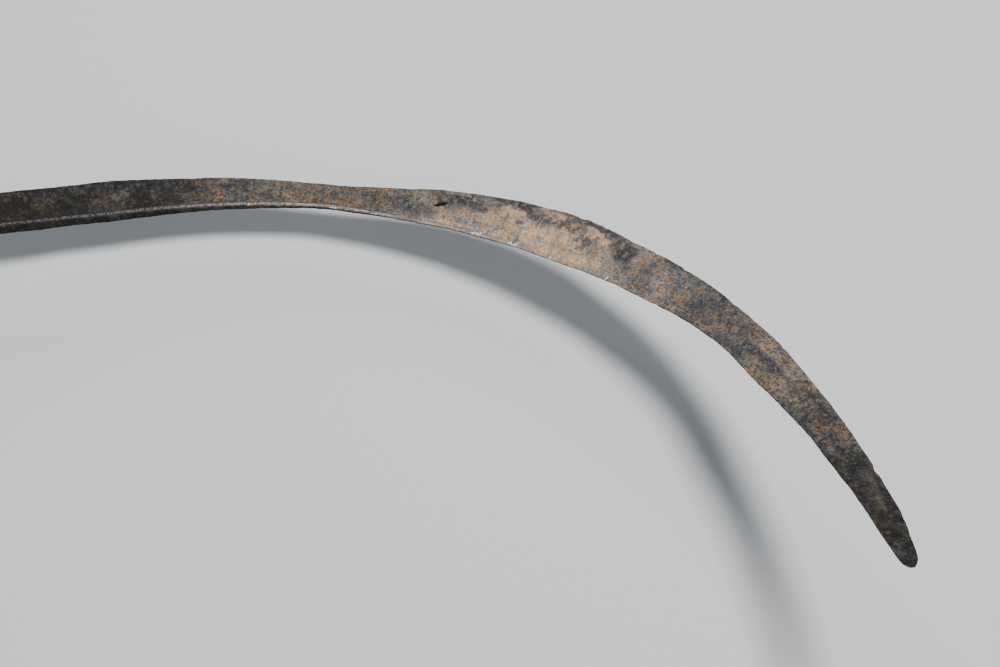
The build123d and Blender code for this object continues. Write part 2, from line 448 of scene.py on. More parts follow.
def blade_fields(strip, across, upper, on_bevel):
    """Relief in millimetres and the surface states of every blade vertex."""
    along = strip[:, 0]
    outside = smooth_step(0.5, 5, along)
    scale = scale_field(strip, across, upper)
    ground = smooth_step(BEVEL_END, GROUND_TO, along)
    worn_off = smooth_step(-0.3, 0.35, smooth_noise(strip, 2.4, 23) + 0.5 * smooth_noise(strip, 0.8, 24))
    worn_off *= smooth_step(0.99, 0.92, across)
    ground *= 1 - 0.6 * worn_off * smooth_step(GROUND_TO - 8, GROUND_TO + 6, along)
    # The tone holds the rust's lightness and also the painted shade towards the handle end and the tip.
    tone = np.interp(along, *np.array(RUST_AND_SHADE_TONES).T) + 0.08 * smooth_noise(strip, 5.0, 25)
    place, half_length, strength = PALE_EDGE
    tone += strength * smooth_step(0.35, 0.85, across) * bump_at(along, place, half_length)

    hammer = 0.12 * smooth_noise(strip * [1, 1.5, 1], 9.0, 31) + 0.05 * smooth_noise(strip, 4.0, 32)
    grain = 0.035 * smooth_noise(strip * [1, 0.7, 1], 0.95, 33) + 0.03 * smooth_noise(strip, 0.55, 34)
    pitting = pits(strip, 1.3, 41, 0.4)
    flakes = 0.05 * smooth_step(0.35, 0.6, scale + 0.15 * smooth_noise(strip, 0.7, 35))
    rough = 1 - 0.85 * on_bevel * np.maximum(ground, 0.4)
    relief = hammer + (grain - 0.11 * pitting + flakes) * rough - DENT_DEPTH * dent_field(strip, upper)
    states = {
        "scale": scale,
        # On the sides and underside the tone is cut to 0.4 times, so they are painted darker than the upper
        # face: painted shade.
        "tone": np.where(upper > 0, tone, 0.4 * tone),
        "bevel": on_bevel * ground * outside,
        "polish_and_shade": np.interp(along, *np.array(EDGE_POLISH_AND_SHADE).T),
        "rubbed_glint": rubbed_glint_field(strip, across, upper),
        "pit": np.clip(pitting * rough * 0.8, 0, 1),
        "upper": upper,
        "along": along,
        "side": strip[:, 1],
        "rise": strip[:, 2],
    }
    return relief * outside, states


def strip_faces(rings, samples):
    """Quads between the rings of the blade, with a fan at each end to an added end point."""
    faces = []
    for ring in range(rings - 1):
        for sample in range(samples):
            after = (sample + 1) % samples
            here = ring * samples
            there = here + samples
            faces.append((here + sample, here + after, there + after, there + sample))
    start_cap = rings * samples
    for sample in range(samples):
        after = (sample + 1) % samples
        last = (rings - 1) * samples
        faces.append((start_cap, after, sample))
        faces.append((start_cap + 1, last + sample, last + after))
    return faces


def fold_uv(obj, rings, samples, ring_places):
    """Bake UVs: the long strip is cut into rows that lie side by side in the square."""
    rows = 4
    row_length = (ring_places[-1] - ring_places[0]) / rows
    uv = obj.data.uv_layers.new(name="OFBake")
    coordinates = np.zeros((len(obj.data.loops), 2))
    for face in obj.data.polygons:
        corners = [index for index in face.vertices if index < rings * samples]
        ring = min(index // samples for index in corners)
        row = min(int((ring_places[ring] - ring_places[0]) / row_length), rows - 1)
        wraps = max(index % samples for index in corners) - min(index % samples for index in corners) > 1
        for loop, index in zip(face.loop_indices, face.vertices):
            if index < rings * samples:
                place = ring_places[index // samples]
                sample = index % samples
                if wraps and sample == 0:
                    sample = samples
            else:
                place = ring_places[ring] + (0.5 if index > rings * samples else -0.5)
                sample = (min(v % samples for v in corners) + 0.5) if not wraps else samples - 0.5
            u = (place - ring_places[0]) / row_length - row
            coordinates[loop] = (0.01 + 0.96 * u, (row + 0.02 + 0.95 * sample / samples) / rows)
    uv.data.foreach_set("uv", coordinates.ravel())


def drill(obj, holes):
    """Cuts round upright holes, each given as x, y and radius in millimetres."""
    cutters = bmesh.new()
    for x, y, radius in holes:
        bmesh.ops.create_cone(
            cutters,
            cap_ends=True,
            segments=48,
            radius1=radius * MM,
            radius2=radius * MM,
            depth=HANDLE_THICKNESS * MM,
            matrix=Matrix.Translation(Vector((x, y, HALF_THICKNESS)) * MM),
        )
    mesh = bpy.data.meshes.new("hole_cutters")
    cutters.to_mesh(mesh)
    cutters.free()
    cutter = link(bpy.data.objects.new("hole_cutters", mesh))
    cut = obj.modifiers.new("holes", "BOOLEAN")
    cut.operation = "DIFFERENCE"
    cut.solver = "EXACT"
    cut.object = cutter
    apply_modifiers(obj)
    bpy.data.objects.remove(cutter)


def make_blade(material):
    """Hooked blade and tang in one, with its hollows, pits, scale, nicks and punch mark."""
    distances = ring_distances()
    centres, ahead, level, upright = centre_line(distances)
    width, thickness, land, roll = section_sizes(distances)
    tang = distances < 0
    width[tang] = TANG_WIDTH
    thickness[tang] = TANG_THICKNESS
    to_tip = np.clip((distances - BLADE_LENGTH + TIP_ROUNDING) / TIP_ROUNDING, 0, 1)
    outline = section_outline(width, thickness, land, np.sqrt(1 - to_tip ** 2))
    outline = np.where(tang[:, None, None], outline, soften_back(outline))
    outline = uneven_borders(outline, distances)

    turn = np.radians(roll * smooth_step(0, ROLL_LENGTH, distances))[:, None]
    across_way = level * np.cos(turn) + upright * np.sin(turn)
    up_way = upright * np.cos(turn) - level * np.sin(turn)
    rings, samples = outline.shape[:2]
    points = (
        centres[:, None, :]
        + outline[:, :, :1] * across_way[:, None, :]
        + outline[:, :, 1:] * up_way[:, None, :]
    ).reshape(-1, 3)
    ends = np.stack([centres[0], centres[-1] + ahead[-1] * TIP_CAP])
    blade = mesh_object("blade_forging", np.concatenate([points, ends]), strip_faces(rings, samples))
    fold_uv(blade, rings, samples, distances)

    strip = np.stack([np.repeat(distances, samples), outline[:, :, 0].ravel(), outline[:, :, 1].ravel()], 1)
    across = (outline[:, :, 0] / np.abs(outline[:, :, 0]).max(axis=1, keepdims=True)).ravel()
    sample = np.tile(np.arange(samples), rings)
    top_end = SECTION_SAMPLES["top"]
    bevel_end = top_end + SECTION_SAMPLES["bevel"]
    upper = (sample <= bevel_end).astype(float)
    on_bevel = smooth_step(top_end - 1, top_end + 1.5, sample)
    on_bevel *= smooth_step(bevel_end + 0.5, bevel_end - 1, sample)
    relief, states = blade_fields(strip, across, upper, on_bevel)
    relief = np.concatenate([relief, [0, 0]])
    set_points(blade, points_of(blade) + normals_of(blade) * relief[:, None])
    for name, values in states.items():
        set_attribute(blade, name, np.concatenate([values, [values[0], values[-1]]]))

    holes = [(x, 0, RIVET_RADIUS) for x in RIVET_PLACES.values()]
    holes += [(BOLSTER_PIN_X, side * BOLSTER_PIN_OFFSET, BOLSTER_PIN_RADIUS) for side in (-1, 1)]
    drill(blade, holes)
    finish_piece(blade, "blade", material)


# -------- handle

def detailed_copy(name, node, voxel):
    """A finer copy of a CAD node's shape, for relief to be worked into."""
    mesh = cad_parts[node].data.copy()
    mesh.name = name
    obj = link(bpy.data.objects.new(name, mesh))
    welded = bmesh.new()
    welded.from_mesh(mesh)
    bmesh.ops.remove_doubles(welded, verts=welded.verts, dist=1e-6)
    welded.to_mesh(mesh)
    welded.free()
    remesh = obj.modifiers.new("remesh", "REMESH")
    remesh.mode = "VOXEL"
    remesh.voxel_size = voxel * MM
    smooth = obj.modifiers.new("smooth", "SMOOTH")
    smooth.factor = 0.5
    smooth.iterations = 3
    apply_modifiers(obj)
    obj.data.shade_smooth()
    return obj


def near_fittings(points):
    """How near a handle vertex is to a rivet, the tube or the bolster joint, from 0 to 1."""
    near = 0.8 * smooth_step(5, 0.5, SCALE_FRONT_X - points[:, 0])
    for x in RIVET_PLACES.values():
        away = np.hypot(points[:, 0] - x, points[:, 1]) - BURR_RADIUS
        near = np.maximum(near, smooth_step(2.2, 0.2, away))
    away = np.hypot(points[:, 0] - TUBE_X, points[:, 1]) - TUBE_OUTER_RADIUS
    return np.maximum(near, smooth_step(2.2, 0.2, away))


def outer_only(points):
    """1 on the outside of a half handle, 0 on the joint faces and on the face it rests on."""
    from_joint = np.abs(points[:, 2] - HALF_THICKNESS)
    return smooth_step(0.3, 2.0, from_joint) * smooth_step(0.15, 1.5, points[:, 2])


def make_scale(node, seed, material):
    """Wooden half handle with a worn, slightly uneven surface and raised grain."""
    wood = detailed_copy(node + "_wood", node, WOOD_VOXEL)
    points = points_of(wood)
    near = near_fittings(points)
    along_grain = points * [0.12, 1, 1]
    dents = pits(points, 9.0, seed, 0.3)
    relief = 0.22 * smooth_noise(points, 16.0, seed) + 0.05 * smooth_noise(along_grain, 0.9, seed + 1)
    relief -= 0.25 * dents
    relief *= outer_only(points) * (1 - near)
    set_points(wood, points + normals_of(wood) * np.minimum(relief, 0.1)[:, None])
    set_attribute(wood, "grime", np.clip(near + 0.6 * dents, 0, 1))
    side = np.abs(points[:, 1]) / SWELL_HALF_WIDTH
    set_attribute(wood, "worn", smooth_step(0.35, 0.95, side) * outer_only(points))
    finish_piece(wood, node, material)


def make_bolster(node, seed, material):
    """Iron cheek with shallow hollows and rust pits."""
    iron = detailed_copy(node + "_iron", node, BOLSTER_VOXEL)
    points = points_of(iron)
    from_pins = np.hypot(points[:, 0] - BOLSTER_PIN_X, np.abs(points[:, 1]) - BOLSTER_PIN_OFFSET)
    clear_of_pins = smooth_step(BOLSTER_PIN_RADIUS, BOLSTER_PIN_RADIUS + 0.8, from_pins)
    pitting = pits(points, 1.6, seed + 1, 0.3)
    relief = 0.10 * smooth_noise(points, 5.0, seed) - 0.10 * pitting - 0.05
    relief *= outer_only(points) * clear_of_pins
    normals = normals_of(iron)
    set_points(iron, points + normals * np.minimum(relief, 0)[:, None])
    lean = np.abs(normals[:, 2])
    rounded = smooth_step(0.15, 0.5, lean) * smooth_step(0.98, 0.85, lean)
    handled = 0.35 + 0.35 * smooth_noise(points, 6.0, seed + 2)
    set_attribute(iron, "pit", pitting)
    set_attribute(iron, "worn", np.clip(rounded + handled, 0, 1) * outer_only(points))
    finish_piece(iron, node, material)


def lathe(name, profile, x, y):
    """A ring or rod turned about an upright axis, from a profile of radius and height. The profile
    of a rod starts and ends on the axis, and that of a ring is joined from its end to its start."""
    closed_on_axis = profile[0][0] == 0
    count = len(profile)
    points = []
    for angle in np.arange(LATHE_SEGMENTS) * 2 * math.pi / LATHE_SEGMENTS:
        for radius, height in profile:
            points.append((x + radius * math.cos(angle), y + radius * math.sin(angle), height))
    faces = []
    for turn in range(LATHE_SEGMENTS):
        here = turn * count
        there = (turn + 1) % LATHE_SEGMENTS * count
        for index in range(count - 1 if closed_on_axis else count):
            after = (index + 1) % count
            faces.append((here + index, there + index, there + after, here + after))
    obj = mesh_object(name, points, faces)
    clean = bmesh.new()
    clean.from_mesh(obj.data)
    bmesh.ops.remove_doubles(clean, verts=clean.verts, dist=1e-7)
    bmesh.ops.recalc_face_normals(clean, faces=clean.faces)
    clean.to_mesh(obj.data)
    clean.free()
    obj.data.shade_smooth()
    return obj


def fine_profile(corners, step):
    """Adds points between the corners of a profile, so that it can take relief."""
    fine = []
    for start, end in zip(corners, corners[1:]):
        count = max(1, round(math.dist(start, end) / step))
        for share in np.arange(count) / count:
            fine.append(tuple(start[axis] + (end[axis] - start[axis]) * share for axis in (0, 1)))
    return fine + [corners[-1]]


def dome(radius, base, height, way):
    """Profile of a low peened head, from its rim to the axis, rising upwards or downwards."""
    angles = np.linspace(0, math.pi / 2, 10)
    curve = [(radius * math.cos(a), base + way * height * math.sin(a) ** 0.8) for a in angles[:-1]]
    return curve + [(0, base + way * height)]


def hammer_marks(obj, x, seed, depth):
    """Dents both heads of a rivet at x with overlapping hammer blows."""
    points = points_of(obj)
    from_axis = np.hypot(points[:, 0] - x, points[:, 1])
    marks = pits(points * [1, 1, 0.2], 2.4, seed, 0.9) + 0.3 * smooth_noise(points, 1.1, seed + 5)
    from_face = np.minimum(points[:, 2], HANDLE_THICKNESS - points[:, 2])
    outer = smooth_step(RECESS_DEPTH + 0.3, 0.5, from_face)
    way = np.sign(points[:, 2] - HALF_THICKNESS)
    points[:, 2] -= way * depth * marks * outer * smooth_step(RIVET_HEAD_RADIUS, 1.5, from_axis)
    set_points(obj, points)
    set_attribute(obj, "pit", np.clip(marks, 0, 1))
    set_attribute(obj, "worn", outer * smooth_step(0.2, 1.0, 1 - marks))


def make_rivet(place, x, seed, material):
    """Shank with a hammered head on each burr."""
    seat = HANDLE_THICKNESS - RECESS_DEPTH + BURR_THICKNESS
    low_seat = HANDLE_THICKNESS - seat
    profile = dome(RIVET_HEAD_RADIUS, low_seat, RIVET_HEAD_HEIGHT, -1)[::-1]
    profile += fine_profile([(RIVET_RADIUS, low_seat), (RIVET_RADIUS, seat)], 1.0)
    profile += dome(RIVET_HEAD_RADIUS, seat, RIVET_HEAD_HEIGHT, 1)
    rivet = lathe("rivet_" + place + "_iron", profile, x, 0)
    hammer_marks(rivet, x, seed, 0.16)
    finish_piece(rivet, "rivet_" + place, material)


def make_burr(side, place, x, seed, material):
    """Ring washer with a rounded rim, slightly dished by the peening."""
    seat = RECESS_DEPTH if side == "lower" else HANDLE_THICKNESS - RECESS_DEPTH
    way = -1 if side == "lower" else 1
    rim = BURR_RADIUS - 0.03
    bore = RIVET_RADIUS + 0.02
    section = [
        (bore, 0.0),
        (rim - 0.15, 0.0),
        (rim, 0.2),
        (rim, BURR_THICKNESS - 0.35),
        (rim - 0.12, BURR_THICKNESS - 0.12),
        (rim - 0.4, BURR_THICKNESS),
        (RIVET_HEAD_RADIUS + 0.1, BURR_THICKNESS - 0.08),
        (bore, BURR_THICKNESS - 0.02),
        (bore, 0.0),
    ]
    profile = [(r, seat + way * z) for r, z in fine_profile(section, 0.3)[:-1]]
    burr = lathe("burr_" + side + "_" + place + "_brass", profile, x, 0)
    points = points_of(burr)
    exposed = smooth_step(0.3, 0.9, way * (points[:, 2] - seat))
    points[:, 2] -= way * exposed * 0.05 * (1 + smooth_noise(points, 1.4, seed))
    set_points(burr, points)
    set_attribute(burr, "grime", smooth_step(4.2, 5.0, np.hypot(points[:, 0] - x, points[:, 1])))
    finish_piece(burr, "burr_" + side + "_" + place, material)


def make_bolster_pin(side, y, seed, material):
    """Pin through both bolsters, with slightly domed ends."""
    corners = [(0, 0.02), (0.9, 0.04), (BOLSTER_PIN_RADIUS - 0.12, 0.14), (BOLSTER_PIN_RADIUS, 0.3)]
    corners += [(r, HANDLE_THICKNESS - z) for r, z in corners[::-1]]
    pin = lathe("bolster_pin_" + side + "_iron", fine_profile(corners, 0.3), BOLSTER_PIN_X, y)
    points = points_of(pin)
    set_attribute(pin, "pit", np.clip(smooth_noise(points, 0.8, seed), 0, 1))
    set_attribute(pin, "worn", np.ones(len(points)))
    finish_piece(pin, "bolster_pin_" + side, material)


def make_tube(material):
    """Hanging tube with slightly rounded rims."""
    section = [
        (TUBE_BORE_RADIUS, 0.45),
        (TUBE_BORE_RADIUS + 0.12, 0.15),
        (TUBE_BORE_RADIUS + 0.4, 0.03),
        (TUBE_OUTER_RADIUS - 0.3, 0.03),
        (TUBE_OUTER_RADIUS - 0.02, 0.3),
    ]
    section += [(r, HANDLE_THICKNESS - z) for r, z in section[::-1]]
    section.append(section[0])
    tube = lathe("hanging_tube_brass", fine_profile(section, 0.5)[:-1], TUBE_X, 0)
    height = points_of(tube)[:, 2]
    depth = np.minimum(height, HANDLE_THICKNESS - height)
    set_attribute(tube, "grime", smooth_step(0.2, 3.0, depth))
    finish_piece(tube, "hanging_tube", material)


# -------- materials

class Tree:
    """A material's node tree, with short calls for the nodes used here."""

    def __init__(self, name, color, metallic=0.0, roughness=0.6, specular=0.5):
        self.material = bpy.data.materials.new(name)
        self.material.use_nodes = True
        self.nodes = self.material.node_tree.nodes
        self.links = self.material.node_tree.links
        self.shader = self.nodes["Principled BSDF"]
        self.finish(
            Base_Color=(*color, 1), Metallic=metallic, Roughness=roughness, Specular_IOR_Level=specular
        )
        self.material.diffuse_color = (*color, 1)
        self.place = self.node("TexCoord").outputs["Object"]

    def node(self, kind, **inputs):
        """A new shader node, its inputs given by their names with _ for a space."""
        made = self.nodes.new("ShaderNode" + kind)
        for name, value in inputs.items():
            self.feed(made.inputs[name.replace("_", " ")], value)
        return made

    def feed(self, socket, value):
        """Links another node's output to a socket, or sets the socket to a constant."""
        if isinstance(value, bpy.types.NodeSocket):
            self.links.new(value, socket)
        else:
            socket.default_value = value

    def attribute(self, name):
        """The value that the mesh's vertices hold under a name."""
        made = self.node("Attribute")
        made.attribute_name = name
        return made.outputs["Fac"]

    def math(self, operation, first, second=0.0, third=0.0):
        made = self.node("Math")
        made.operation = operation
        for socket, value in zip(made.inputs, (first, second, third)):
            self.feed(socket, value)
        return made.outputs[0]

    def times(self, first, second):
        return self.math("MULTIPLY", first, second)

    def step(self, value, low, high, bottom=0.0, top=1.0):
        """Smooth step of a value from bottom to top."""
        made = self.node("MapRange", Value=value, From_Min=low, From_Max=high, To_Min=bottom, To_Max=top)
        made.interpolation_type = "SMOOTHSTEP"
        return made.outputs["Result"]

    def stretched(self, x, y, z):
        """Object coordinates scaled along each axis."""
        return self.node("Mapping", Vector=self.place, Scale=(x, y, z)).outputs["Vector"]

    def noise(self, size_mm, detail=3.0, roughness=0.5, distortion=0.0, place=None):
        """Noise with features of about this size."""
        made = self.node(
            "TexNoise",
            Vector=place or self.place,
            Scale=1 / (size_mm * MM),
            Detail=detail,
            Roughness=roughness,
            Distortion=distortion,
        )
        return made.outputs["Fac"]

    def strip_place(self, squeeze=1.0):
        """Place on the blade's strip, in millimetres along it, to its side and up."""
        side = self.times(self.attribute("side"), squeeze)
        made = self.node("CombineXYZ", X=self.attribute("along"), Y=side, Z=self.attribute("rise"))
        return made.outputs["Vector"]

    def strip_noise(self, size_mm, squeeze=1.0, detail=2.0, roughness=0.5):
        """Noise laid along the blade's strip, its features longer across it for a low squeeze."""
        place = self.strip_place(squeeze)
        made = self.node("TexNoise", Vector=place, Scale=1 / size_mm, Detail=detail, Roughness=roughness)
        return made.outputs["Fac"]

    def strip_cells(self, size_mm):
        """Distance from the nearest of many scattered points along the blade's strip."""
        made = self.node("TexVoronoi", Vector=self.strip_place(), Scale=1 / size_mm)
        return made.outputs["Distance"]

    def brightness(self, colour):
        """How light a colour is, as one number."""
        return self.node("RGBToBW", Color=colour).outputs["Val"]

    def scaled(self, tint, value):
        """A tint multiplied by a value."""
        made = self.node("VectorMath")
        made.operation = "SCALE"
        self.feed(made.inputs[0], tint)
        self.feed(made.inputs["Scale"], value)
        return made.outputs["Vector"]

    def ramp(self, value, *stops):
        """Colour of a value, from stops that each hold a place and a colour."""
        made = self.node("ValToRGB", Fac=value)
        marks = made.color_ramp.elements
        while len(marks) < len(stops):
            marks.new(0.5)
        for mark, (place, colour) in zip(marks, stops):
            mark.position = place
            mark.color = (*colour, 1)
        return made.outputs["Color"]

    def mix(self, factor, first, second):
        """Mix of two colours, each a socket or three numbers."""
        made = self.node("Mix")
        made.data_type = "RGBA"
        self.feed(made.inputs["Factor"], factor)
        colour_inputs = [socket for socket in made.inputs if socket.type == "RGBA"]
        for socket, value in zip(colour_inputs, (first, second)):
            self.feed(socket, value if isinstance(value, bpy.types.NodeSocket) else (*value, 1))
        return next(socket for socket in made.outputs if socket.type == "RGBA")

    def bump(self, height, distance_mm, strength=1.0, under=None):
        """Normal of a height, laid over another normal if one is given."""
        made = self.node("Bump", Height=height, Distance=distance_mm * MM, Strength=strength)
        if under is not None:
            self.links.new(under, made.inputs["Normal"])
        return made.outputs["Normal"]

    def finish(self, **inputs):
        """Feeds the shader's inputs and gives the material."""
        for name, value in inputs.items():
            self.feed(self.shader.inputs[name.replace("_", " ")], value)
        return self.material


def grey(value):
    """A plain value as a colour, to be mixed like one."""
    return (value, value, value)


def punch_shade_mask(tree):
    """1 inside the punch mark's slanted oval on the upper face, and 0 outside. The mark is painted near
    black there: painted shade in the dent.
    """
    lengthwise = tree.math("SUBTRACT", tree.attribute("along"), DENT_ALONG)
    lengthwise = tree.math("DIVIDE", lengthwise, DENT_HALF_LENGTH)
    crosswise = tree.math("SUBTRACT", tree.attribute("side"), DENT_SIDE)
    crosswise = tree.math("MULTIPLY_ADD", lengthwise, -DENT_SLANT, crosswise)
    crosswise = tree.math("DIVIDE", crosswise, DENT_HALF_WIDTH)
    square = tree.math("MULTIPLY_ADD", lengthwise, lengthwise, tree.times(crosswise, crosswise))
    return tree.times(tree.step(square, 1.25, 0.85), tree.attribute("upper"))


def rust_colour(tree, tone, mottle, fine, cells):
    """Rust with red clouds, dark gaps and soot between its grains, and pale grains on top. The gaps and soot
    are stronger where the tone is low: partly soot and partly painted shade towards the handle end and the
    tip.
    """
    soot_and_shade = tree.math("MULTIPLY_ADD", tone, -0.62, 1.0)
    pale_rust = tree.ramp(
        mottle,
        (0.36, (0.180, 0.118, 0.074)),
        (0.46, (0.300, 0.210, 0.138)),
        (0.53, (0.430, 0.312, 0.212)),
        (0.61, (0.560, 0.425, 0.300)),
    )
    dark_rust = tree.ramp(
        mottle,
        (0.38, (0.008, 0.007, 0.006)),
        (0.47, (0.024, 0.019, 0.016)),
        (0.54, (0.050, 0.039, 0.031)),
        (0.62, (0.100, 0.077, 0.059)),
    )
    rust = tree.mix(tone, dark_rust, pale_rust)
    reddish = tree.step(tree.strip_noise(4.6, 1.0, 3.0), 0.52, 0.68, 0.0, 0.45)
    rust = tree.mix(reddish, rust, tree.mix(tone, (0.055, 0.032, 0.023), (0.340, 0.180, 0.100)))
    gaps = tree.times(tree.step(cells, 0.52, 0.78, 0.0, 0.8), soot_and_shade)
    rust = tree.mix(gaps, rust, (0.022, 0.016, 0.012))
    granules = tree.times(tree.step(cells, 0.36, 0.10, 0.0, 0.4), tone)
    rust = tree.mix(granules, rust, (0.62, 0.48, 0.35))
    soot = tree.times(tree.step(fine, 0.46, 0.34, 0.0, 0.85), soot_and_shade)
    return tree.mix(soot, rust, (0.024, 0.018, 0.014))


def tinted_rust(tree, tone, rust):
    """The rust again, bluish where it is darker than usual, a painted tint of cool sky light, and orange
    where it is lighter.
    """
    bright = tree.brightness(rust)
    usual = tree.math("MULTIPLY_ADD", tone, 0.30, 0.035)
    warmth = tree.strip_noise(1.5, 0.8, 3.0, 0.6)
    warmth = tree.math("MULTIPLY_ADD", tree.math("DIVIDE", bright, usual), 0.38, warmth)
    warmth = tree.math("ADD", warmth, tree.step(tone, 0.0, 0.3, -0.03, 0.045))
    warmth = tree.math("ADD", warmth, tree.step(tone, 0.7, 1.0, 0.0, 0.06))
    warmth = tree.math("MINIMUM", warmth, tree.step(tone, 0.0, 0.3, 0.79, 1.1))
    # The cool end of this tint is painted light: the bluish sky light on darker grains.
    tint = tree.ramp(
        warmth,
        (0.66, (0.90, 1.00, 1.06)),
        (0.78, (1.18, 1.00, 0.83)),
        (0.96, (1.50, 1.00, 0.61)),
    )
    rust = tree.scaled(tint, tree.times(bright, tree.step(tone, 0.6, 1.0, 0.87, 1.0)))
    specks = tree.times(tree.step(tree.strip_noise(1.1, 1.0, 0.0), 0.80, 0.83), tone)
    return tree.mix(specks, rust, (0.42, 0.125, 0.035))


def scale_colour(tree, tone, grain, fine):
    """Blue-black forge scale with brown specks, made darker where the tone is low: painted shade towards the
    handle end and the tip.
    """
    dark = tree.ramp(
        grain,
        (0.42, (0.010, 0.010, 0.012)),
        (0.53, (0.034, 0.034, 0.036)),
        (0.64, (0.115, 0.113, 0.112)),
    )
    dark = tree.mix(tree.step(fine, 0.58, 0.68, 0.0, 0.6), dark, (0.22, 0.175, 0.135))
    return tree.scaled(dark, tree.step(tone, 0.0, 0.3, 0.45, 1.0))


def rusted_blade_material():
    """Granular tan rust over dark forge scale, with a ground edge and rubbed spots painted near white as
    glints: painted highlights. Painted shade darkens the punch mark and the blade towards the handle end and
    the tip.
    """
    tree = Tree("blade_rust", (0.20, 0.15, 0.11), roughness=0.8)
    grain = tree.strip_noise(1.0, 0.7, 5.0, 0.70)
    fine = tree.strip_noise(0.38, 0.8, 2.0)
    clouds = tree.strip_noise(3.2, 1.0, 4.0, 0.6)
    strokes = tree.strip_noise(0.28, 0.3, 1.0)
    cells = tree.strip_cells(0.48)
    mottle = tree.math("MULTIPLY_ADD", clouds, 0.45, tree.times(grain, 0.55))
    tone = tree.attribute("tone")

    rust = tinted_rust(tree, tone, rust_colour(tree, tone, mottle, fine, cells))
    broken = tree.math("MULTIPLY_ADD", grain, 1.7, tree.times(fine, 0.6))
    scale = tree.math("ADD", tree.attribute("scale"), tree.math("SUBTRACT", broken, 1.15))
    scale = tree.step(scale, 0.36, 0.62, 0.0, 0.96)
    surface = tree.mix(scale, rust, scale_colour(tree, tone, grain, fine))
    surface = tree.mix(tree.times(tree.attribute("pit"), 0.85), surface, (0.012, 0.009, 0.008))
    # The punch mark is painted near black: painted shade in the dent.
    surface = tree.mix(punch_shade_mask(tree), surface, grey(0.001))

    ground = tree.times(tree.attribute("bevel"), tree.step(fine, 0.28, 0.50, 0.55, 1.0))
    # Rubbed spots are painted near white with a little metal: a painted highlight for their glint.
    rubbed_glint = tree.step(tree.math("MULTIPLY_ADD", strokes, 4.0, tree.attribute("rubbed_glint")), 2.75, 3.05)
    rubbed_glint = tree.times(rubbed_glint, tree.step(tree.attribute("rubbed_glint"), 0.1, 0.4))
    # The ground edge is lighter where polished and painted darker towards the handle end: painted shade.
    steel = tree.mix(tree.attribute("polish_and_shade"), (0.046, 0.043, 0.047), (0.290, 0.265, 0.250))
    surface = tree.mix(ground, surface, steel)
    colour = tree.mix(rubbed_glint, surface, (0.92, 0.90, 0.90))

    roughness = tree.mix(scale, grey(0.85), grey(0.70))
    roughness = tree.mix(ground, roughness, grey(0.46))
    roughness = tree.mix(rubbed_glint, roughness, grey(0.30))
    bare = tree.math("MAXIMUM", ground, rubbed_glint)
    relief = tree.math("MULTIPLY_ADD", cells, -0.16, mottle)
    relief = tree.times(relief, tree.math("SUBTRACT", 1.1, bare))
    normal = tree.bump(relief, 0.80)
    normal = tree.bump(tree.times(strokes, rubbed_glint), 0.06, 0.8, normal)
    metallic = tree.math("MULTIPLY_ADD", rubbed_glint, 0.35, tree.times(ground, 0.30))
    sheen = tree.step(tone, 0.0, 0.3, 0.12, 0.35)
    return tree.finish(
        Base_Color=colour, Roughness=roughness, Metallic=metallic, Normal=normal, Specular_IOR_Level=sheen
    )


def wood_material(name, shift):
    """Oiled hardwood with growth rings, pores and hand wear, its grain along X."""
    tree = Tree(name, (0.28, 0.16, 0.085), roughness=0.5, specular=0.4)
    shifted = tree.node("Mapping", Vector=tree.place, Location=shift, Scale=(0.07, 1, 1))
    grain_place = shifted.outputs["Vector"]
    wave = tree.node("TexWave", Vector=grain_place, Scale=95.0, Distortion=5.0, Detail=3.0, Detail_Scale=1.2)
    wave.wave_type = "RINGS"
    wave.rings_direction = "X"
    rings = wave.outputs["Fac"]
    fibre = tree.noise(0.7, 4.0, 0.65, place=grain_place)
    pore = tree.noise(0.42, 1.0, 0.4, place=grain_place)
    blotch = tree.noise(14.0, 3.0)

    colour = tree.mix(tree.step(rings, 0.15, 0.9), (0.30, 0.165, 0.08), (0.15, 0.07, 0.032))
    colour = tree.mix(tree.step(fibre, 0.38, 0.68), colour, (0.36, 0.21, 0.11))
    colour = tree.mix(tree.step(blotch, 0.35, 0.7, 0.0, 0.45), colour, (0.12, 0.06, 0.03))
    colour = tree.mix(tree.times(tree.attribute("worn"), 0.45), colour, (0.37, 0.22, 0.115))
    colour = tree.mix(tree.step(pore, 0.62, 0.70, 0.0, 0.85), colour, (0.045, 0.022, 0.012))
    colour = tree.mix(tree.times(tree.attribute("grime"), 0.75), colour, (0.05, 0.027, 0.015))
    roughness = tree.step(fibre, 0.3, 0.7, 0.42, 0.62)
    relief = tree.math("SUBTRACT", tree.times(fibre, 0.5), tree.step(pore, 0.60, 0.72))
    normal = tree.bump(relief, 0.09, 0.8)
    return tree.finish(Base_Color=colour, Roughness=roughness, Normal=normal)


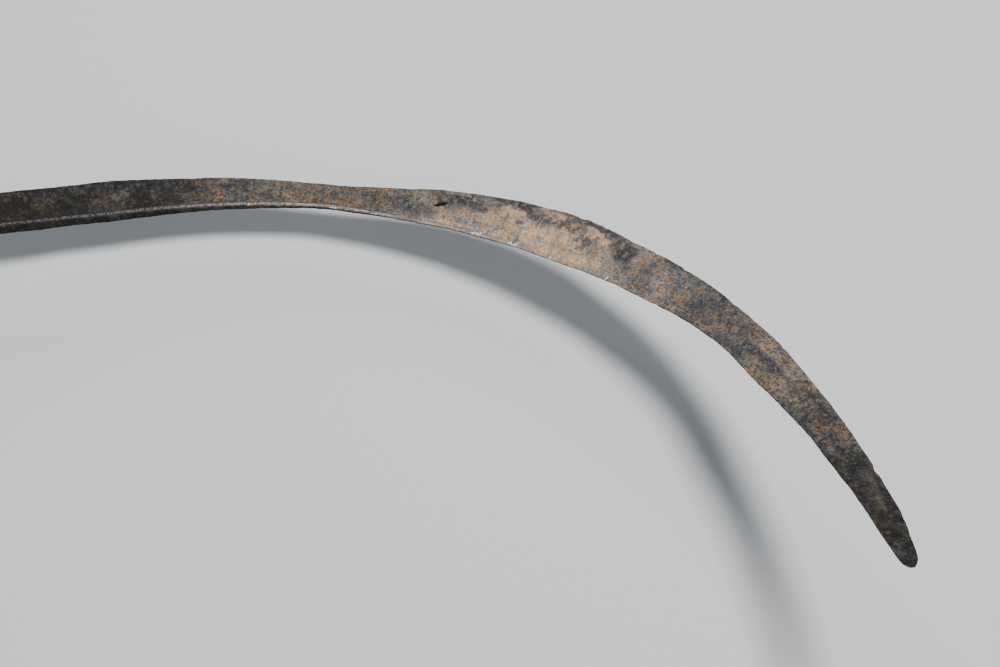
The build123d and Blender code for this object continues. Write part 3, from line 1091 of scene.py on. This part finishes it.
def iron_material(name, dark, light, worn_to):
    """Brown-black patinated iron, rubbed brighter where it stands out."""
    tree = Tree(name, dark, roughness=0.5)
    fine = tree.noise(0.45, 4.0, 0.65)
    broad = tree.noise(3.5, 4.0, 0.6)
    scratches = tree.noise(0.22, 1.0, 0.5, 0.6, place=tree.stretched(0.16, 1.0, 1.0))
    colour = tree.mix(tree.step(broad, 0.40, 0.64), dark, light)
    colour = tree.mix(tree.step(fine, 0.56, 0.68, 0.0, 0.55), colour, (0.22, 0.125, 0.07))
    colour = tree.mix(tree.step(fine, 0.44, 0.34, 0.0, 0.5), colour, (0.02, 0.016, 0.014))
    colour = tree.mix(tree.times(tree.attribute("pit"), 0.8), colour, (0.02, 0.014, 0.01))
    bare = tree.times(tree.attribute("worn"), tree.step(fine, 0.34, 0.52))
    bare = tree.times(bare, tree.step(scratches, 0.30, 0.55, 0.55, 0.85))
    colour = tree.mix(bare, colour, worn_to)
    roughness = tree.mix(bare, grey(0.62), grey(0.40))
    normal = tree.bump(fine, 0.06, 0.6)
    normal = tree.bump(scratches, 0.012, 0.6, normal)
    return tree.finish(Base_Color=colour, Roughness=roughness, Metallic=bare, Normal=normal)


def brass_material():
    """Tarnished brass, brown in its corners."""
    tree = Tree("brass_tarnished", (0.5, 0.37, 0.19), metallic=1.0, roughness=0.45)
    fine = tree.noise(0.6, 3.0, 0.6)
    broad = tree.noise(2.6, 3.0)
    colour = tree.mix(tree.step(broad, 0.35, 0.65), (0.55, 0.40, 0.18), (0.33, 0.22, 0.10))
    colour = tree.mix(tree.step(fine, 0.56, 0.7, 0.0, 0.7), colour, (0.16, 0.11, 0.06))
    colour = tree.mix(tree.times(tree.attribute("grime"), 0.8), colour, (0.09, 0.06, 0.035))
    roughness = tree.step(fine, 0.3, 0.7, 0.34, 0.6)
    normal = tree.bump(fine, 0.04, 0.6)
    return tree.finish(Base_Color=colour, Roughness=roughness, Normal=normal)


# -------- stage

def make_floor():
    """Plain pale floor under the knife."""
    floor = mesh_object(
        "floor",
        [(x * FLOOR_REACH, y * FLOOR_REACH, 0) for x, y in ((-1, -1), (1, -1), (1, 1), (-1, 1))],
        [(0, 1, 2, 3)],
    )
    tree = Tree("pale_floor", (0.60, 0.62, 0.64), roughness=0.75, specular=0.3)
    floor.data.materials.append(tree.finish())


def aim_at(obj, target, roll=0.0):
    """Turns a camera or light to look at a point, rolled about its view."""
    turn = (target * MM - obj.location).to_track_quat("-Z", "Y").to_matrix().to_4x4()
    obj.matrix_world = Matrix.Translation(obj.location) @ turn @ Matrix.Rotation(math.radians(roll), 4, "Z")


def make_camera():
    """Camera with the close, slightly rolled view of the blade."""
    data = bpy.data.cameras.new("camera")
    data.lens = LENS
    data.sensor_width = 36
    data.clip_start = 0.01
    camera = link(bpy.data.objects.new("camera", data))
    tilt = math.radians(CAMERA_ELEVATION)
    away = Vector((0, -math.cos(tilt), math.sin(tilt))) * CAMERA_DISTANCE
    camera.location = (AIM + away) * MM
    aim_at(camera, AIM, CAMERA_ROLL)
    bpy.context.scene.camera = camera


def make_light(name, place, size, power, colour):
    """Round area light that shines on the knife."""
    data = bpy.data.lights.new(name, "AREA")
    data.shape = "DISK"
    data.size = size * MM
    data.energy = power
    data.color = colour
    light = link(bpy.data.objects.new(name, data))
    light.location = Vector(place) * MM
    aim_at(light, LIGHTS_AIM)


def make_lights():
    """Soft studio light: a key from above, a rim from behind, a wide fill and a pale sky."""
    make_light("key", (300, 130, 800), 230, 9.0, (1.0, 0.97, 0.93))
    make_light("rim", (-350, 600, 330), 260, 2.2, (0.93, 0.96, 1.0))
    make_light("fill", (300, -900, 700), 900, 1.4, (1.0, 1.0, 1.0))
    world = bpy.data.worlds.new("studio")
    world.use_nodes = True
    sky = world.node_tree.nodes["Background"]
    sky.inputs["Color"].default_value = (0.85, 0.92, 1.0, 1)
    sky.inputs["Strength"].default_value = 0.25
    bpy.context.scene.world = world


# -------- the scene

make_camera()
make_lights()
make_floor()

make_blade(rusted_blade_material())
make_scale("scale_upper", 61, wood_material("wood_upper", (0.0, -0.021, -0.034)))
make_scale("scale_lower", 71, wood_material("wood_lower", (0.013, -0.025, 0.017)))
bolster_iron = iron_material("bolster_patina", (0.07, 0.055, 0.045), (0.14, 0.105, 0.08), (0.31, 0.28, 0.25))
make_bolster("bolster_upper", 81, bolster_iron)
make_bolster("bolster_lower", 91, bolster_iron)
rivet_iron = iron_material("rivet_patina", (0.10, 0.085, 0.075), (0.17, 0.135, 0.11), (0.28, 0.255, 0.23))
make_bolster_pin("right", -BOLSTER_PIN_OFFSET, 101, rivet_iron)
make_bolster_pin("left", BOLSTER_PIN_OFFSET, 102, rivet_iron)
brass = brass_material()
for number, (place_name, rivet_x) in enumerate(RIVET_PLACES.items()):
    make_rivet(place_name, rivet_x, 110 + number, rivet_iron)
    for side_name in ("upper", "lower"):
        make_burr(side_name, place_name, rivet_x, 120 + number, brass)
make_tube(brass)
